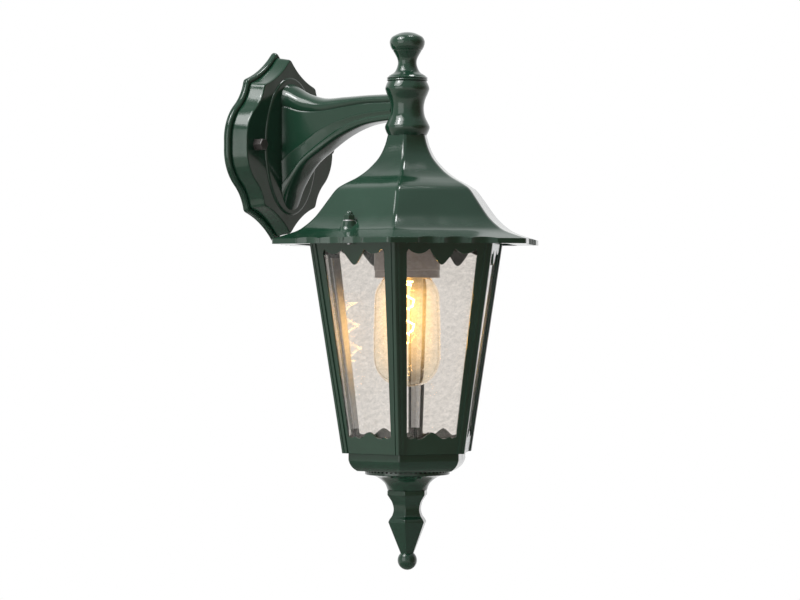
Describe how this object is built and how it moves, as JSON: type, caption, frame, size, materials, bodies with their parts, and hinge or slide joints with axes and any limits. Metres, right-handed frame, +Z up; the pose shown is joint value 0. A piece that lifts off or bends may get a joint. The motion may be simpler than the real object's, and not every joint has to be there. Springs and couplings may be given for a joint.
{
  "type": "outdoor wall lantern",
  "caption": "Hexagonal tapered wall lantern hung from a curved arm on a scalloped wall plate, with glazed sides, a flared roof, a turned finial and a pointed pendant.",
  "frame": {"origin": "middle of the two wall screws, on the wall behind the plate", "axes": "+Z up, +Y into the wall, the lantern hangs out along -Y, +X to the right when facing the wall"},
  "size_m": [0.2244, 0.2865, 0.4804],
  "materials": {
    "green_coat": "dark green gloss powder coat on die-cast aluminium",
    "black_steel": "blackened steel hexagon bolts",
    "zinc_steel": "zinc-plated steel",
    "brass": "plain brass",
    "nickel_cap": "rolled lamp cap",
    "cap_insulator": "black vitrite",
    "black_rubber": "soft matt rubber",
    "white_plastic": "white nylon and sleeving",
    "holder_plastic": "pale grey-beige moulded cover",
    "porcelain": "glazed porcelain",
    "textured_glass": "clear glass with a hammered back",
    "lamp_glass_slot": "clear thin blown glass",
    "filament_wire": "glowing wire"
  },
  "bodies": {
    "bracket": {"arm": "green_coat", "arm_screws": "zinc_steel", "cable_grommet": "black_rubber", "centre_contact": "brass", "earth_screw": "brass", "finial": "green_coat", "fixing_strap": "zinc_steel", "holder_cover": "holder_plastic", "holder_insulator": "porcelain", "holder_screws": "zinc_steel", "lamp_lead": "white_plastic", "nut_washers": "zinc_steel", "plate_bolts": "black_steel", "plate_gasket": "black_rubber", "roof": "green_coat", "roof_washer": "zinc_steel", "screw_shell": "brass", "spindle": "green_coat", "terminal_block": "white_plastic", "terminal_screws": "zinc_steel", "threaded_tube": "zinc_steel", "tube_nuts": "zinc_steel", "wall_plate": "green_coat"},
    "cage": {"cage_frame": "green_coat", "glass_retainers": "zinc_steel", "cage_studs": "zinc_steel", "bottom_bowl": "green_coat", "vent_ring": "green_coat", "flared_cup": "green_coat", "pendant": "green_coat", "tie_screw": "zinc_steel", "tie_washer": "zinc_steel", "glass_back_left": "textured_glass", "glass_back_right": "textured_glass", "glass_front_left": "textured_glass", "glass_front_right": "textured_glass", "glass_left": "textured_glass", "glass_right": "textured_glass"},
    "lamp": {"lamp_cap": "nickel_cap", "lamp_tip": "cap_insulator", "lamp_glass": "lamp_glass_slot", "lamp_stem": "lamp_glass_slot", "lamp_filament": "filament_wire"},
    "cap_nut_left": {"cap_nut_left": "green_coat"},
    "cap_nut_right": {"cap_nut_right": "green_coat"}
  },
  "joints": [
    {"name": "cage_drop", "type": "slide", "parent": "bracket", "child": "cage", "axis": [0, 0, -1], "range_m": [0, 0.15]},
    {"name": "lamp_drop", "type": "slide", "parent": "bracket", "child": "lamp", "axis": [0, 0, -1], "range_m": [0, 0.035]},
    {"name": "cap_nut_left_lift", "type": "slide", "parent": "bracket", "child": "cap_nut_left", "axis": [0, 0, 1], "range_m": [0, 0.02]},
    {"name": "cap_nut_right_lift", "type": "slide", "parent": "bracket", "child": "cap_nut_right", "axis": [0, 0, 1], "range_m": [0, 0.02]}
  ]
}
